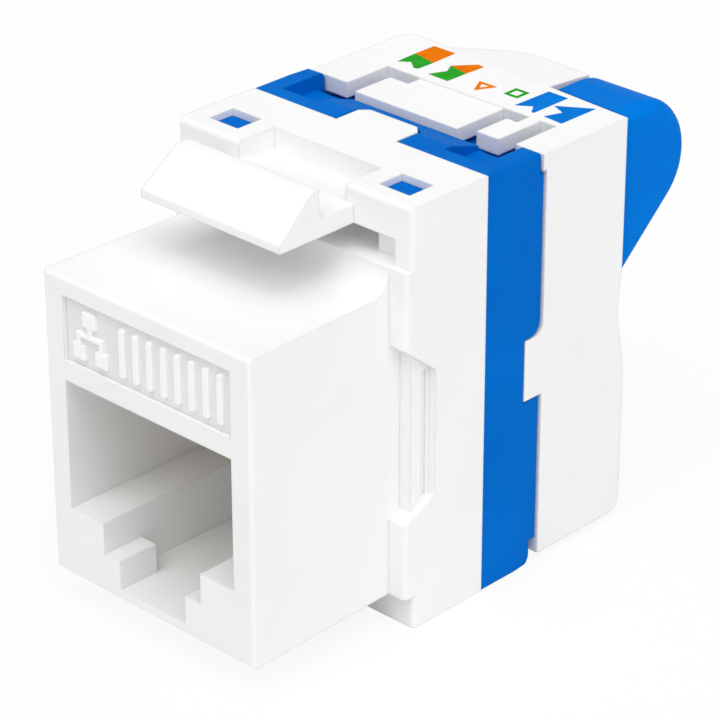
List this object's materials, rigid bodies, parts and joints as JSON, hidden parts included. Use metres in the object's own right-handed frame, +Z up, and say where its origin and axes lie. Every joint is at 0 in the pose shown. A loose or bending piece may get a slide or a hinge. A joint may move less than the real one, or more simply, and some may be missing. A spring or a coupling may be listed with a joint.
{
  "type": "keystone jack",
  "caption": "White and blue modular network jack for a keystone panel, with a plug socket, panel latch, coloured wiring cap and a sliding cable clamp at the rear.",
  "frame": {"origin": "middle of the bounding box's bottom, on the surface that the jack stands on", "axes": "+X to the right seen from the port, +Y from the port face towards the cable, +Z up towards the panel latch"},
  "size_m": [0.0164, 0.0318, 0.0243],
  "materials": {
    "white_plastic": "satin",
    "blue_plastic": "satin",
    "carrier_plastic": "satin",
    "board": "gloss",
    "gilded_contact": "polished",
    "tinned_contact": "satin"
  },
  "bodies": {
    "jack": {"housing": "white_plastic", "core_body": "blue_plastic", "contact_carrier": "carrier_plastic", "spring_contact_1": "gilded_contact", "spring_contact_2": "gilded_contact", "spring_contact_3": "gilded_contact", "spring_contact_4": "gilded_contact", "spring_contact_5": "gilded_contact", "spring_contact_6": "gilded_contact", "spring_contact_7": "gilded_contact", "spring_contact_8": "gilded_contact", "circuit_board": "board", "cutting_contact_1": "tinned_contact", "cutting_contact_2": "tinned_contact", "cutting_contact_3": "tinned_contact", "cutting_contact_4": "tinned_contact", "cutting_contact_5": "tinned_contact", "cutting_contact_6": "tinned_contact", "cutting_contact_7": "tinned_contact", "cutting_contact_8": "tinned_contact"},
    "cap": {"wiring_cap": "white_plastic"},
    "clamp": {"cable_clamp": "blue_plastic"}
  },
  "joints": [
    {"name": "cap_slide", "type": "slide", "parent": "jack", "child": "cap", "axis": [0, 1, 0], "range_m": [0, 0.012]},
    {"name": "clamp_slide", "type": "slide", "parent": "cap", "child": "clamp", "axis": [1, 0, 0], "range_m": [0, 0.003]}
  ]
}
